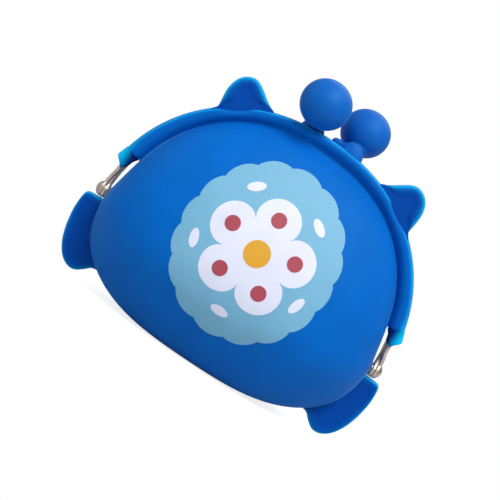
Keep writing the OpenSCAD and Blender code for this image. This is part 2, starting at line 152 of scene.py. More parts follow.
def linear(red, green, blue):
    """Linear colour of a colour written as it looks, 0 to 255."""
    parts = [c / 255 for c in (red, green, blue)]
    return tuple(c / 12.92 if c <= 0.04045 else ((c + 0.055) / 1.055) ** 2.4 for c in parts) + (1,)


def nickel_steel(name, clean, dull, brush):
    """Nickel plating; brush stretches the rolling lines along the strip."""
    material, tree, shader = new_material(name, Metallic=1.0)
    place = own_place(tree)
    along = add_node(tree, "ShaderNodeMapping", {"Vector": place, "Scale": brush}).outputs[0]
    lines = noise(tree, along, scale=900.0, detail=4.0)
    stains = noise(tree, place, scale=420.0, detail=5.0)
    colour = mixed(tree, ramp(tree, stains, 0.35, 0.72), clean, dull)
    rough = ramp(tree, stains, 0.3, 0.7, low=0.34, high=0.55)
    surfaced(tree, shader, colour, rough, lines, strength=0.25, depth=0.00008)
    return material


frame_steel = nickel_steel(
    "nickel_strip", clean=linear(232, 219, 206), dull=linear(190, 175, 160), brush=(1, 6, 0.35))
bead_steel = nickel_steel(
    "nickel_bead", clean=linear(214, 204, 190), dull=linear(182, 170, 154), brush=(1, 1, 1))
for node in frame["nodes"].values():
    if "rivet" in node.name or "bead" in node.name:
        node.data.materials.clear()
        node.data.materials.append(bead_steel if "bead" in node.name else frame_steel)


# Bows. Each is one steel strip bent to the arch of its rim. Below the rim its two legs narrow, lean to
# the middle and step sideways, so that they end side by side in round eyes on the rivets.
def signed_power(value, exponent):
    return np.sign(value) * np.abs(value) ** exponent


arch_power = 2.2


def arch(a, b, t, power=arch_power):
    """Point of an arch with half width a and height b above the hinge line."""
    return (a * signed_power(np.cos(t), 2 / power), b * signed_power(np.sin(t), 2 / power))


def eased(value):
    clipped = np.clip(value, 0, 1)
    return clipped * clipped * (3 - 2 * clipped)


def shaded(work, mesh, sharp):
    """Writes the worked mesh back with smooth faces, and edges over sharp degrees left hard."""
    for face in work.faces:
        face.smooth = True
    for edge in work.edges:
        if len(edge.link_faces) == 2 and edge.calc_face_angle(0) > math.radians(sharp):
            edge.smooth = False
    work.to_mesh(mesh)
    work.free()


def mesh_object(name, points, faces, sharp=50):
    mesh = bpy.data.meshes.new(name)
    mesh.from_pydata([tuple(p) for p in points], [], faces)
    work = bmesh.new()
    work.from_mesh(mesh)
    bmesh.ops.recalc_face_normals(work, faces=work.faces)
    shaded(work, mesh, sharp)
    return placed(name, mesh)


def half_turned(array):
    return array * np.array([-1, -1, 1])


def swept(name, rings, sharp=40):
    """Closed bar through a list of rings with as many points each."""
    count = len(rings[0])
    faces = [list(range(count)), [(len(rings) - 1) * count + i for i in range(count)]]
    for k in range(len(rings) - 1):
        for i in range(count):
            j = (i + 1) % count
            faces.append((k * count + i, k * count + j, (k + 1) * count + j, (k + 1) * count + i))
    return mesh_object(name, np.concatenate(rings), faces, sharp)


hinge_z = frame["joints"][0]["pos_m"][2]
bow_low, bow_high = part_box("front_frame_bow")
inner_bow_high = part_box("back_frame_bow")[1]
strip_t = bow_high[0] - inner_bow_high[0]
strip_half_w = 0.0023
leg_half_w = 0.0014
strip_y = bow_low[1] + strip_half_w
strip_bevel = 0.00014
strip_thinner = 0.00002
eye_angles = np.radians([4, 20, 38, 56, 74, 90])
eye_top = 0.0018
step_from = 0.0020
step_height = 0.0060
lean_from = 0.0005
lean_height = 0.0112
bow_b = bow_high[2] - hinge_z - strip_t / 2
bow_a = 0.0461
bow_places = 90
crowding = 1.15


def strip_half_width(h):
    """The strip is round at the eye, and narrow in the legs and the arch."""
    if h < eye_top:
        return math.sqrt(max(strip_half_w ** 2 - h * h, 1e-9))
    return leg_half_w


def bow(name, plate_x):
    """Strip through a list of places along eye, leg and arch, with its eyes plate_x from the middle."""
    t = math.pi / 2 * np.linspace(0, 1, bow_places)[1:] ** crowding
    x, h = arch(bow_a, bow_b, t)
    below = -strip_half_w * np.cos(eye_angles)
    x = np.concatenate([np.full(len(below), bow_a), x])
    h = np.concatenate([below, h])
    x = x + (plate_x - bow_a) * (1 - eased((h - step_from) / step_height))
    x = np.concatenate([x, -x[-2::-1]])
    h = np.concatenate([h, h[-2::-1]])
    along = np.stack([np.gradient(x), np.gradient(h)], axis=1)
    along /= np.linalg.norm(along, axis=1)[:, None]
    rings = []
    half_t = strip_t / 2 - strip_thinner
    for px, ph, (dx, dh) in zip(x, h, along):
        w = strip_half_width(ph)
        y = strip_y * float(eased((ph - lean_from) / lean_height))
        e = min(strip_bevel, w / 3)
        section = [
            (half_t, w - e), (half_t - e, w), (e - half_t, w), (-half_t, w - e),
            (-half_t, e - w), (e - half_t, -w), (half_t - e, -w), (half_t, e - w)]
        rings.append([(px + dh * n, y + v, hinge_z + ph - dx * n) for n, v in section])
    return swept(name, np.array(rings))


def geometry_tree(name, entries):
    """New Geometry Nodes tree with its named inputs; returns the tree, its inputs and its end."""
    tree = bpy.data.node_groups.new(name, "GeometryNodeTree")
    for socket, kind in entries.items():
        tree.interface.new_socket(socket, in_out="INPUT", socket_type="NodeSocket" + kind)
    tree.interface.new_socket("Made", in_out="OUTPUT", socket_type="NodeSocketGeometry")
    entry = add_node(tree, "NodeGroupInput").outputs
    return tree, entry, add_node(tree, "NodeGroupOutput").inputs["Made"]


def end_tree(tree, made, finish, last):
    real = add_node(tree, "GeometryNodeRealizeInstances", {"Geometry": made})
    finished = add_node(tree, "GeometryNodeSetMaterial", {"Geometry": real.outputs[0], "Material": finish})
    tree.links.new(finished.outputs[0], last)


def rod_tree():
    """Rod with closed ends, along the edges of the object's own mesh."""
    tree, entry, last = geometry_tree("rod_along_path", {
        "Path": "Geometry", "Radius": "Float", "Sides": "Int", "Steel": "Material"})
    path = add_node(tree, "GeometryNodeMeshToCurve", {"Mesh": entry["Path"]}).outputs[0]
    ring = add_node(tree, "GeometryNodeCurvePrimitiveCircle", {
        "Resolution": entry["Sides"], "Radius": entry["Radius"]}).outputs[0]
    rod = add_node(tree, "GeometryNodeCurveToMesh", {
        "Curve": path, "Profile Curve": ring, "Fill Caps": True}).outputs[0]
    end_tree(tree, rod, entry["Steel"], last)
    return tree


def plain(seed):
    """Mesh that an object's modifiers make; the object itself goes."""
    made = bpy.data.meshes.new_from_object(seed.evaluated_get(bpy.context.evaluated_depsgraph_get()))
    made.name = seed.name
    bpy.data.objects.remove(seed)
    return made


def grown(name, mesh, tree, values, sharp):
    """Piece that a Geometry Nodes tree makes from a mesh, with its named inputs set."""
    seed = placed(name, mesh)
    modifier = seed.modifiers.new(tree.name, "NODES")
    modifier.node_group = tree
    for item in tree.interface.items_tree:
        if item.in_out == "INPUT" and item.name in values:
            modifier[item.identifier] = values[item.name]
    made = plain(seed)
    work = bmesh.new()
    work.from_mesh(made)
    shaded(work, made, sharp)
    return placed(name, made)


post_tree = rod_tree()
post_x = 0.0062
post_weld = 0.0002
post_r = 0.0009
post_sides = 16
post_bends = [
    (0, 0, 0), (0, 0, 0.0024), (0.0001, 0.0006, 0.0032), (0.0003, 0.0030, 0.0040), (0.0006, 0.0060, 0.0056)]


def middle_of(box):
    return Vector([(low + high) / 2 for low, high in zip(*box)])


def post(name):
    """Rod welded on the bow, bent back under the ball to carry its bead."""
    foot = Vector((post_x, strip_y, hinge_z + bow_b - post_weld))
    stops = [foot + Vector(bend) for bend in post_bends] + [middle_of(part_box("front_kiss_bead"))]
    path = bpy.data.meshes.new(name + "_path")
    path.from_pydata(stops, [(k, k + 1) for k in range(len(stops) - 1)], [])
    return grown(name, path, post_tree, {
        "Radius": post_r, "Sides": post_sides, "Steel": frame_steel}, sharp=50)


for half, plate_high, turned in (("front_half", bow_high, False), ("back_half", inner_bow_high, True)):
    word = half.split("_")[0]
    strip = bow(word + "_bow", plate_high[0] - strip_t / 2)
    strip.data.materials.append(frame_steel)
    for piece, node in ((strip, word + "_frame_bow"), (post(word + "_post"), word + "_kiss_post")):
        if turned:
            piece.data.transform(Matrix.Rotation(math.pi, 4, "Z"))
        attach(piece, half)
        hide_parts(node)


# Pouch skins. One silicone moulding, 1.2 mm thick, makes the bowl and both faces, and swells into a
# soft rim round each half of the mouth. Each skin is half of it, closed along the side seams.
panel_low, panel_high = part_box("front_panel")
rim_low, rim_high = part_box("front_rim_sleeve")
half_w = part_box("pouch_bowl")[1][0]
half_d = -panel_low[1]
face_h = panel_high[2] - hinge_z
face_half_w = 0.0429
rim_half_w = 0.0483
rim_h = 0.0472
rim_power = 2.16
rim_back = 0.0
rim_front = -rim_low[1]
groove_d = 0.0035
wall = 0.0012
hip_h = 0.0113
hip_power = 1.5
crown_power = 1.8
crown_round = 1.2
rim_end_h = 0.0136
reach_most = 0.08
base_reach = 0.0278
plan_power = 2.5
flank_from = math.radians(25)
flank_flare = 0.845
floor_sink = 0.0015
corner_power = 24.0
valley_depth = 0.0011
valley_width = 0.0028


def side_x(h):
    body = face_half_w * np.maximum(1 - (h / face_h) ** arch_power, 0) ** (1 / arch_power)
    return body + (half_w - face_half_w) * np.maximum(1 - h / hip_h, 0) ** hip_power


def edge_y(h):
    return groove_d * eased(h / hip_h)


def face_y(x, h):
    crown = np.maximum(1 - (h / face_h) ** crown_power, 0) ** (1 / crown_round)
    middle = groove_d + (half_d - groove_d) * crown
    across = np.maximum(1 - (np.abs(x) / np.maximum(side_x(h), 1e-6)) ** plan_power, 0)
    return edge_y(h) + (middle - edge_y(h)) * across ** (1 / plan_power)


def bowl_radius(x, angle):
    """Reach of the bowl from the hinge line, at an angle below the front."""
    plan = half_d * np.maximum(1 - (np.abs(x) / half_w) ** plan_power, 1e-9) ** (1 / plan_power)
    flank = plan / np.cos(flank_flare * np.maximum(angle - flank_from, 0))
    floor = (hinge_z + floor_sink) / np.maximum(np.sin(angle), 1e-4)
    terms = [flank, base_reach / half_d * plan, floor]
    return sum((term * 1000) ** -corner_power for term in terms) ** (-1 / corner_power) / 1000


def inside(x, y, h):
    """True where a point, depth y in front of the centre plane, lies within the pouch."""
    level = np.clip(h, 0, face_h)
    upper = (h < face_h) & (np.abs(x) < side_x(level)) & (y < face_y(x, level))
    angle = np.arctan2(np.maximum(-h, 0), np.maximum(y, 1e-9))
    lower = (np.abs(x) < half_w) & (np.hypot(y, h) < bowl_radius(x, angle)) & (-h < hinge_z)
    return np.where(h >= 0, upper, lower)


def reach(direction):
    """Distance from the middle of the hinge line to the skin, along each direction."""
    near = np.zeros(len(direction))
    far = np.full(len(direction), reach_most)
    halvings = 36
    for _ in range(halvings):
        middle = (near + far) / 2
        x, y, h = (direction * middle[:, None]).T
        within = inside(x, -y, h)
        near = np.where(within, middle, near)
        far = np.where(within, far, middle)
    return near


arch_steps = 150
side_steps = 12
base_steps = 120
skin_rings = 64
roll_steps = 26
roll_reach = 163
rim_across_power = 2.5
rim_deep_power = 2.7
seam_smooth_h = 0.006
seam_smooth_x = 0.034
seam_smooth_passes = 14
rim_end_angle = math.asin((rim_end_h / rim_h) ** (rim_power / 2))
rim_end_rounds = np.radians([0, 0.3, 0.9, 1.8])


def skin_border():
    """Outer edge of one skin: the groove under the rim, then the side seams and the base."""
    arch_t = np.linspace(rim_end_angle, math.pi - rim_end_angle, arch_steps)
    near_end = rim_end_angle + rim_end_rounds[1:]
    arch_t = np.concatenate([arch_t[:1], near_end, arch_t[2:-2], math.pi - near_end[::-1], arch_t[-1:]])
    x, h = arch(face_half_w, face_h, arch_t)
    groove = np.stack([x, -np.full_like(x, groove_d), h], axis=1)
    end_h = h[0]
    down = end_h * (1 - np.linspace(0, 1, side_steps + 1)[1:])
    left = np.stack([-side_x(down), -edge_y(down), down], axis=1)
    base_a = np.linspace(0, math.pi, base_steps + 1)[1:-1]
    rays = np.stack([-half_w * np.cos(base_a), np.zeros_like(base_a), -base_reach * np.sin(base_a)], axis=1)
    rays /= np.linalg.norm(rays, axis=1)[:, None]
    base = rays * reach(rays)[:, None]
    right_side = (left * np.array([-1, 1, 1]))[::-1]
    return arch_t, np.concatenate([groove, left, base, right_side])


def skin_sheet(border):
    """Rings of points from the border to the middle of the face."""
    scale = np.array([half_w, half_d, face_h])
    edge = border / scale
    edge /= np.linalg.norm(edge, axis=1)[:, None]
    pole = np.array([0.0, -1.0, 0.0])
    whole = np.arccos(np.clip(edge @ pole, -1, 1))[:, None]
    rings = [border]
    for k in range(1, skin_rings):
        share = k / skin_rings
        ray = (np.sin((1 - share) * whole) * edge + np.sin(share * whole) * pole) / np.sin(whole)
        ray = ray * scale
        ray /= np.linalg.norm(ray, axis=1)[:, None]
        rings.append(ray * reach(ray)[:, None])
    return np.array(rings)


def smooth_rings(rings, passes, weight):
    """Evens the sheet out where weight is above 0, between neighbours on and across each ring."""
    for _ in range(passes):
        around = (np.roll(rings, 1, axis=1) + np.roll(rings, -1, axis=1)) / 2
        across = rings.copy()
        across[1:-1] = (rings[2:] + rings[:-2]) / 2
        rings = rings + weight * 0.5 * ((around + across) / 2 - rings)
        rings[0] = rings[0] + weight[0] * 0.25 * (around[0] - rings[0])
    return rings


def sheet_normals(rings):
    around = np.roll(rings, -1, axis=1) - np.roll(rings, 1, axis=1)
    across = np.gradient(rings, axis=0)
    normal = np.cross(around, across)
    normal /= np.maximum(np.linalg.norm(normal, axis=2), 1e-12)[:, :, None]
    outward = np.sign(np.sum(normal * rings, axis=2))[:, :, None]
    return normal * np.where(outward == 0, 1, outward)


def rim_roll(arch_t):
    """Rows of points over the rim, from the groove round to the inside of the mouth."""
    turn = np.radians(np.linspace(roll_reach, -roll_reach, roll_steps))
    across = 0.5 + 0.5 * signed_power(np.cos(turn), 2 / rim_across_power)
    middle = (rim_front + rim_back) / 2
    deep = middle + (rim_front - rim_back) / 2 * signed_power(np.sin(turn), 2 / rim_deep_power)
    from_end = np.minimum(arch_t - arch_t[0], arch_t[-1] - arch_t)
    swell = np.interp(from_end, rim_end_rounds, [0.84, 0.93, 0.985, 1])
    inner_x, inner_h = arch(face_half_w, face_h, arch_t)
    outer_x, outer_h = arch(rim_half_w, rim_h, arch_t, rim_power)
    rows = []
    for share, depth in zip(across, deep):
        out = 0.5 + (share - 0.5) * swell
        y = middle + (depth - middle) * swell
        rows.append(np.stack([
            inner_x + (outer_x - inner_x) * out, -y, inner_h + (outer_h - inner_h) * out], axis=1))
    return np.array(rows)


def point_values(piece, name, values):
    attribute = piece.data.attributes.new(name, "FLOAT", "POINT")
    attribute.data.foreach_set("value", np.asarray(values, dtype=np.float32))


arch_t, border = skin_border()
sheet = skin_sheet(border)
arch_count = len(arch_t)
border_count = len(border)
near_hinge = np.exp(-(sheet[:, :, 2] / seam_smooth_h) ** 2)
near_hinge *= eased((np.abs(sheet[:, :, 0]) - seam_smooth_x) / seam_smooth_h)
near_hinge[:, :arch_count] = 0
sheet = smooth_rings(sheet, seam_smooth_passes, near_hinge[:, :, None])
roll = rim_roll(arch_t)
ring_gap = np.linalg.norm(sheet[:, :arch_count, ::2] - sheet[:1, :arch_count, ::2], axis=2)
sheet[:, :arch_count, 1] += valley_depth * np.exp(-(ring_gap / valley_width) ** 2)


def spline(knots, steps):
    """Smooth closed curve through the knots."""
    curve = []
    count = len(knots)
    for i in range(count):
        p = [np.array(knots[(i + d) % count], float) for d in (-1, 0, 1, 2)]
        for j in range(steps):
            t = j / steps
            curve.append(0.5 * (
                2 * p[1] + (p[2] - p[0]) * t + (2 * p[0] - 5 * p[1] + 4 * p[2] - p[3]) * t * t
                + (3 * p[1] - p[0] - 3 * p[2] + p[3]) * t ** 3))
    return np.array(curve)


# The dish of each ear is pressed into the outer half of the front rim, inside this outline.
ear_knots = [
    (0.0328, 0.0620), (0.0316, 0.0639), (0.0318, 0.0662), (0.0320, 0.0690), (0.0317, 0.0713),
    (0.0308, 0.0734), (0.0293, 0.0749), (0.0271, 0.0757), (0.0251, 0.0753), (0.0231, 0.0741),
    (0.0208, 0.0725), (0.0193, 0.0716), (0.0176, 0.0706), (0.0204, 0.0690), (0.0233, 0.0665),
    (0.0267, 0.0643), (0.0302, 0.0627)]
ear_heart = np.array([0.0268, 0.0692])
ear_dish_y = -0.0053
ear_dish_slope = 0.0012


def outline_depth(x, z, outline):
    """Distance from points inside an outline to its nearest side, and 0 outside it."""
    a = outline
    b = np.roll(outline, -1, axis=0)
    place = np.stack([x, z], axis=-1)[..., None, :]
    along = b - a
    share = np.clip(np.sum((place - a) * along, axis=-1) / np.sum(along ** 2, axis=-1), 0, 1)
    gap = np.linalg.norm(place - a - share[..., None] * along, axis=-1).min(axis=-1)
    crosses = (a[:, 1] > place[..., 1]) != (b[:, 1] > place[..., 1])
    where = a[:, 0] + (place[..., 1] - a[:, 1]) / np.where(along[:, 1] == 0, 1, along[:, 1]) * along[:, 0]
    within = (crosses & (place[..., 0] < where)).sum(axis=-1) % 2 == 1
    return np.where(within, gap, 0)


# The groove between face and rim is filleted by evening out the rows on both sides of it.
fillet_passes = 16
face_rows = 10
rim_rows = 8
column = np.concatenate([sheet[face_rows - 1::-1, :arch_count], roll[:rim_rows]])
strength = np.interp(np.arange(len(column)), [0, 4, 8, 12, 17], [0, 0.9, 1, 0.9, 0])[:, None, None]
for _ in range(fillet_passes):
    smoothed = column.copy()
    smoothed[1:-1] = (column[2:] + column[:-2]) / 2
    column = column + 0.5 * strength * (smoothed - column)
sheet[face_rows - 1::-1, :arch_count] = column[:face_rows]
roll[:rim_rows] = column[face_rows:]
front_roll = roll.copy()
ear_outline = spline(ear_knots, steps=7)
pressed = outline_depth(np.abs(roll[..., 0]), roll[..., 2] + hinge_z, ear_outline)
pressed = eased(pressed / ear_dish_slope)
front_roll[..., 1] = np.maximum(roll[..., 1], roll[..., 1] * (1 - pressed) + ear_dish_y * pressed)

lining = sheet - wall * sheet_normals(sheet)
for ring, share in enumerate((0.35, 0.6, 0.8)):
    lining[ring, :arch_count] = roll[-1] + share * (lining[3, :arch_count] - roll[-1])
seam = lining[0, arch_count:]
seam[:, 1] = border[arch_count:, 1]

middle_point = np.array([[0, -half_d, 0]])
points = np.concatenate([
    sheet.reshape(-1, 3), middle_point,
    lining.reshape(-1, 3), middle_point + [0, wall, 0],
    roll.reshape(-1, 3)])
points[:, 2] += hinge_z
front_points = points.copy()
front_points[-roll.size // 3:] = front_roll.reshape(-1, 3) + np.array([0, 0, hinge_z])
lining_start = skin_rings * border_count + 1
roll_start = 2 * lining_start


def outer_id(k, i):
    return k * border_count + i % border_count


def lining_id(k, i):
    return lining_start + k * border_count + i % border_count


def roll_id(k, i):
    return roll_start + k * arch_count + i


skin_faces = []
for k in range(skin_rings - 1):
    for i in range(border_count):
        j = i + 1
        skin_faces.append((outer_id(k, i), outer_id(k, j), outer_id(k + 1, j), outer_id(k + 1, i)))
        skin_faces.append((lining_id(k, i), lining_id(k + 1, i), lining_id(k + 1, j), lining_id(k, j)))
last = skin_rings - 1
outer_pole = skin_rings * border_count
for i in range(border_count):
    skin_faces.append((outer_id(last, i), outer_id(last, i + 1), outer_pole))
    skin_faces.append((lining_id(last, i + 1), lining_id(last, i), lining_start + outer_pole))
roll_last = roll_steps - 1
for i in range(arch_count - 1):
    j = i + 1
    skin_faces.append((outer_id(0, i), roll_id(0, i), roll_id(0, j), outer_id(0, j)))
    for k in range(roll_last):
        skin_faces.append((roll_id(k, i), roll_id(k + 1, i), roll_id(k + 1, j), roll_id(k, j)))
    skin_faces.append((roll_id(roll_last, i), lining_id(0, i), lining_id(0, j), roll_id(roll_last, j)))
for i in range(arch_count - 1, border_count):
    skin_faces.append((outer_id(0, i), lining_id(0, i), lining_id(0, i + 1), outer_id(0, i + 1)))
for i in (0, arch_count - 1):
    skin_faces.append([outer_id(0, i)] + [roll_id(k, i) for k in range(roll_steps)] + [lining_id(0, i)])

# Painted glow: the rim's colour is paled towards cyan along its outer edges and at its ends, standing in for
# light that soaks through the silicone.
rim_glow = np.zeros(len(points))
rim_turn = np.linspace(roll_reach, -roll_reach, roll_steps)
along_rim = np.interp(rim_turn, [-80, -50, -22, 26, 48, 68], [0, 0.3, 0.06, 0.06, 0.85, 0])[:, None]
end_gap = np.minimum(roll[:, :, 2] - roll[:, :1, 2], roll[:, :, 2] - roll[:, -1:, 2])
glow_end_h = 0.0055
by_end = np.interp(rim_turn, [-90, -60, 60, 82], [0, 0.9, 0.9, 0])[:, None]
by_end = by_end * (1 - eased(end_gap / glow_end_h))
rim_glow[roll_start:] = np.maximum(along_rim, by_end).ravel()

front_skin = mesh_object("front_skin", front_points, skin_faces)
back_skin = mesh_object("back_skin", half_turned(points), skin_faces)
for skin in (front_skin, back_skin):
    point_values(skin, "thin", rim_glow)


def silicone_finish():
    """Fine moulded grain, slow changes of shade and specks of dust, shared by every silicone piece."""
    group = bpy.data.node_groups.new("silicone_finish", "ShaderNodeTree")
    sockets = (
        ("Vector", "INPUT", "Vector"), ("Dust", "INPUT", "Float"), ("Shade", "OUTPUT", "Float"),
        ("Specks", "OUTPUT", "Float"), ("Height", "OUTPUT", "Float"))
    for socket, way, kind in sockets:
        group.interface.new_socket(socket, in_out=way, socket_type="NodeSocket" + kind)
    entry = add_node(group, "NodeGroupInput").outputs
    place = entry["Vector"]
    shade = ramp(group, noise(group, place, scale=70.0, detail=3.0), 0.3, 0.7, low=0.93, high=1.06)
    cells = add_node(group, "ShaderNodeTexVoronoi", {"Vector": place, "Scale": 700.0}).outputs
    dot = ramp(group, cells["Distance"], 0.03, 0.1, low=1.0, high=0.0)
    luck = add_node(group, "ShaderNodeSeparateColor", {"Color": cells["Color"]}).outputs[0]
    specks = maths(group, "MULTIPLY", dot, maths(group, "LESS_THAN", luck, entry["Dust"]))
    grain = noise(group, place, scale=5200.0, detail=2.0)
    dents = noise(group, place, scale=240.0, detail=2.0)
    height = maths(group, "MULTIPLY_ADD", dents, 1.6, grain)
    add_node(group, "NodeGroupOutput", {"Shade": shade, "Specks": specks, "Height": height})
    return group


finish_group = silicone_finish()
dust_colour = linear(104, 160, 222)


def silicone(name, colour, glow_colour, dust=0.16, gloss=0.13):
    """Matt silicone. Where the piece's own point attribute for painted glow is 1, its colour is paled
    towards the given pale colour, standing in for light shining through thin silicone; dust specks are real.
    """
    material, tree, shader = new_material(
        name, Subsurface_Weight=0.1, Subsurface_Scale=0.0008, Subsurface_Radius=(0.25, 0.8, 1.0),
        Specular_IOR_Level=gloss, Specular_Tint=(0.4, 0.78, 1.0, 1.0),
        Sheen_Weight=0.32, Sheen_Roughness=0.24, Sheen_Tint=(0.3, 0.7, 1.0, 1.0))
    finish = add_node(tree, "ShaderNodeGroup", node_tree=finish_group)
    tree.links.new(own_place(tree), finish.inputs["Vector"])
    finish.inputs["Dust"].default_value = dust
    shade = finish.outputs["Shade"]
    tint = add_node(tree, "ShaderNodeHueSaturation", {"Color": colour, "Value": shade}).outputs[0]
    thin = add_node(tree, "ShaderNodeAttribute", attribute_name="thin").outputs["Fac"]
    glowing_and_dusty = mixed(tree, finish.outputs["Specks"], mixed(tree, thin, tint, glow_colour), dust_colour)
    rough = ramp(tree, shade, 0.93, 1.06, low=0.62, high=0.5)
    surfaced(tree, shader, glowing_and_dusty, rough, finish.outputs["Height"], strength=0.35, depth=0.00005)
    return material


# The second colour is a painted glow, used on the rim's outer edges and ends.
body_silicone = silicone("body_silicone", linear(0, 98, 189), linear(0, 165, 235))
for skin, half, nodes in (
    (front_skin, "front_half", ("front_panel", "front_rim_sleeve", "pouch_bowl")),
    (back_skin, "back_half", ("back_panel", "back_rim_sleeve", "pouch_bowl")),
):
    skin.data.materials.append(body_silicone)
    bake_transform(skin)
    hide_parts(*nodes)


# Gussets. Behind each side seam a thin web of the same moulding folds inward, from the hinge up to the
# mouth. Each half gets one such web at each of its side seams.
gusset_rows = 14
gusset_columns = 10
gusset_wall = 0.0006
gusset_foot = -0.0020
gusset_top = 0.0090
gusset_top_rise = 0.0055
gusset_fold = 0.0026
gusset_fold_h = 0.008
gusset_inset = 0.0010
gusset_tuck = 0.0012
gusset_bend_d = 0.0040


def gusset_point(side, across, up, inset):
    """Point of the front web; across runs from the middle fold to the seam, up from foot to mouth."""
    top = gusset_top + gusset_top_rise * across ** 2
    h = gusset_foot + (top - gusset_foot) * up
    level = max(h, 0)
    fold = gusset_fold * float(eased(h / gusset_fold_h)) * (1 - across ** 2)
    x = float(side_x(level)) - gusset_inset - fold - inset
    return (side * x, -across * (float(edge_y(level)) + gusset_tuck), hinge_z + h)


def gusset(name, side, turned):
    points, faces = [], []
    stride = gusset_columns + 1
    for inset in (0, gusset_wall):
        for k in range(gusset_rows + 1):
            points += [gusset_point(side, i / gusset_columns, k / gusset_rows, inset) for i in range(stride)]
    layer = stride * (gusset_rows + 1)
    for k in range(gusset_rows):
        for i in range(gusset_columns):
            a = k * stride + i
            faces.append((a, a + 1, a + stride + 1, a + stride))
            faces.append((layer + a, layer + a + stride, layer + a + stride + 1, layer + a + 1))
    round_edge = list(range(stride))
    round_edge += [k * stride + gusset_columns for k in range(1, gusset_rows + 1)]
    round_edge += [gusset_rows * stride + i for i in range(gusset_columns - 1, -1, -1)]
    round_edge += [k * stride for k in range(gusset_rows - 1, 0, -1)]
    for a, b in zip(round_edge, round_edge[1:] + round_edge[:1]):
        faces.append((a, b, layer + b, layer + a))
    array = np.array(points)
    return mesh_object(name, half_turned(array) if turned else array, faces)


for half, turned, full in (("front_half", False, -gusset_bend_d), ("back_half", True, gusset_bend_d)):
    for side, word in ((-1, "left"), (1, "right")):
        piece = gusset(half.split("_")[0] + "_" + word + "_gusset", -side if turned else side, turned)
        point_values(piece, "thin", np.zeros(len(piece.data.vertices)))
        piece.data.materials.append(body_silicone)
        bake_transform(piece)


# Rim lips. At each end of a rim the silicone tube runs on as a thin sleeve round the steel strip.
# It is cut slanting, so thin that light comes through its outer side, and webbed to the wall inside. That
# light is painted:
# the outer side is paled as a painted glow, and the dark base colour is painted shade for the pocket inside.
lip_wall = 0.0004
lip_shortest = 0.0008
lip_top_z = hinge_z + rim_end_h + lip_shortest
lip_in_x = 0.0423
lip_out_x = 0.0467
lip_slant = 0.37
lip_middle_y = 0.0032
lip_half_d = 0.0025
lip_slimmest = 0.45
lip_squareness = 0.7
# Painted glow on the lips grows from none to full between these distances from the middle.
lip_glow_x = [0.0440, 0.0466]
lip_cut_across = [0, 0.2, 0.33, 0.44, 0.58, 0.64, 0.82, 1]
lip_cut_z = [0.0386, 0.0383, 0.0362, 0.0345, 0.0347, 0.0357, 0.0365, 0.0375]
back_lip_up = 0.0022
lip_sides = 44


def lip_ring(share, inset, up):
    """One ring round the strip; share runs from the top of the sleeve to its slanting cut."""
    ring = []
    for i in range(lip_sides):
        a = 2 * math.pi * i / lip_sides
        across = 0.5 + 0.5 * float(signed_power(math.cos(a), lip_squareness))
        low = min(float(np.interp(across, lip_cut_across, lip_cut_z)) + up, lip_top_z - lip_shortest)
        z = lip_top_z + (low - lip_top_z) * share
        x = lip_in_x + inset + (lip_out_x - lip_in_x - 2 * inset) * across
        x += lip_slant * (lip_top_z - z) * across ** 2
        half_d_here = lip_half_d * float(np.interp(across, [0, 0.5], [lip_slimmest, 1])) - inset
        y = -(lip_middle_y + half_d_here * float(signed_power(math.sin(a), lip_squareness)))
        ring.append((x, y, z))
    return ring


def lip_points(side, up):
    """Rings down the outside, round the cut edge and up the inside."""
    shares = (0, 0.4, 0.8, 0.97, 1)
    rings = [lip_ring(share, 0 if share < 1 else lip_wall * 0.3, up) for share in shares]
    rings += [lip_ring(share, lip_wall if share < 1 else lip_wall * 0.7, up) for share in shares[::-1]]
    return [(side * x, y, z) for ring in rings for x, y, z in ring], len(rings)


def lips(name, turned):
    points, faces = [], []
    for side in (1, -1):
        ring_points, count = lip_points(side, back_lip_up if turned else 0)
        first = len(points)
        points += ring_points
        for k in range(count):
            for i in range(lip_sides):
                j = (i + 1) % lip_sides
                a, b = first + lip_sides * k, first + lip_sides * ((k + 1) % count)
                faces.append((a + i, a + j, b + j, b + i))
    array = np.array(points)
    return mesh_object(name, half_turned(array) if turned else array, faces)


# Dark base colour: painted shade for the pocket under the rim end. Pale colour: painted glow on the outer
# side.
lip_silicone = silicone("lip_silicone", linear(0, 42, 112), linear(0, 185, 242), dust=0.0)
for name, half, turned in (("front_lips", "front_half", False), ("back_lips", "back_half", True)):
    piece = lips(name, turned)
    out_x = [abs(vertex.co.x) for vertex in piece.data.vertices]
    point_values(piece, "thin", np.interp(out_x, lip_glow_x, [0, 1]))
    piece.data.materials.append(lip_silicone)
    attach(piece, half)


# Ball covers. Each half carries a silicone ball over its steel bead, on a neck that rises from the
# rim and bends across the other rim. Neck, ball and skirt are one moulding, so they flow together.
ball_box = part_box("front_ball_cover")
ball_r = 0.0071
ball_x = 0.0069
ball_under_top = 0.0002
ball_place = Vector((ball_x, ball_box[1][1] - ball_r, ball_box[1][2] - ball_r - ball_under_top))
ball_wide = 1.035
ball_low = 0.985
front_ball_up = 0.0003
back_ball_down = 0.0004
neck_r = 0.0022
neck_x = 0.0061
neck_y = -(rim_front + rim_back) / 2
rim_top = Vector((neck_x, 0, rim_high[2]))
elbow = (0, neck_y, 0.0013)
ball_root = (0.0002, 0, -0.0006)
neck_cones = [
    ((0, neck_y, -0.001), elbow, neck_r * 1.02, neck_r, 1),
    ((0.0002, neck_y, -0.0004), (0, neck_y, 0.0006), 0.0038, 0.0025, 0.62),
    (elbow, (0.0002, 0.0010, 0.0012), neck_r, neck_r, 1),
    ((-0.0006, 0, 0.0019), (0.0008, 0, 0.0019), 0.0016, 0.0016, 1)]
hump_cone = ((-0.0051, 0.0028, 0.0012), (-0.0027, 0.0030, 0.0014), 0.0012, 0.0013, 1)
throat = (0.0014, 0.0032, 0.0036)
throat_r = 0.0030
ball_root_r = 0.0062
ball_voxel = 0.00026
even_passes = 12
round_sides = 40


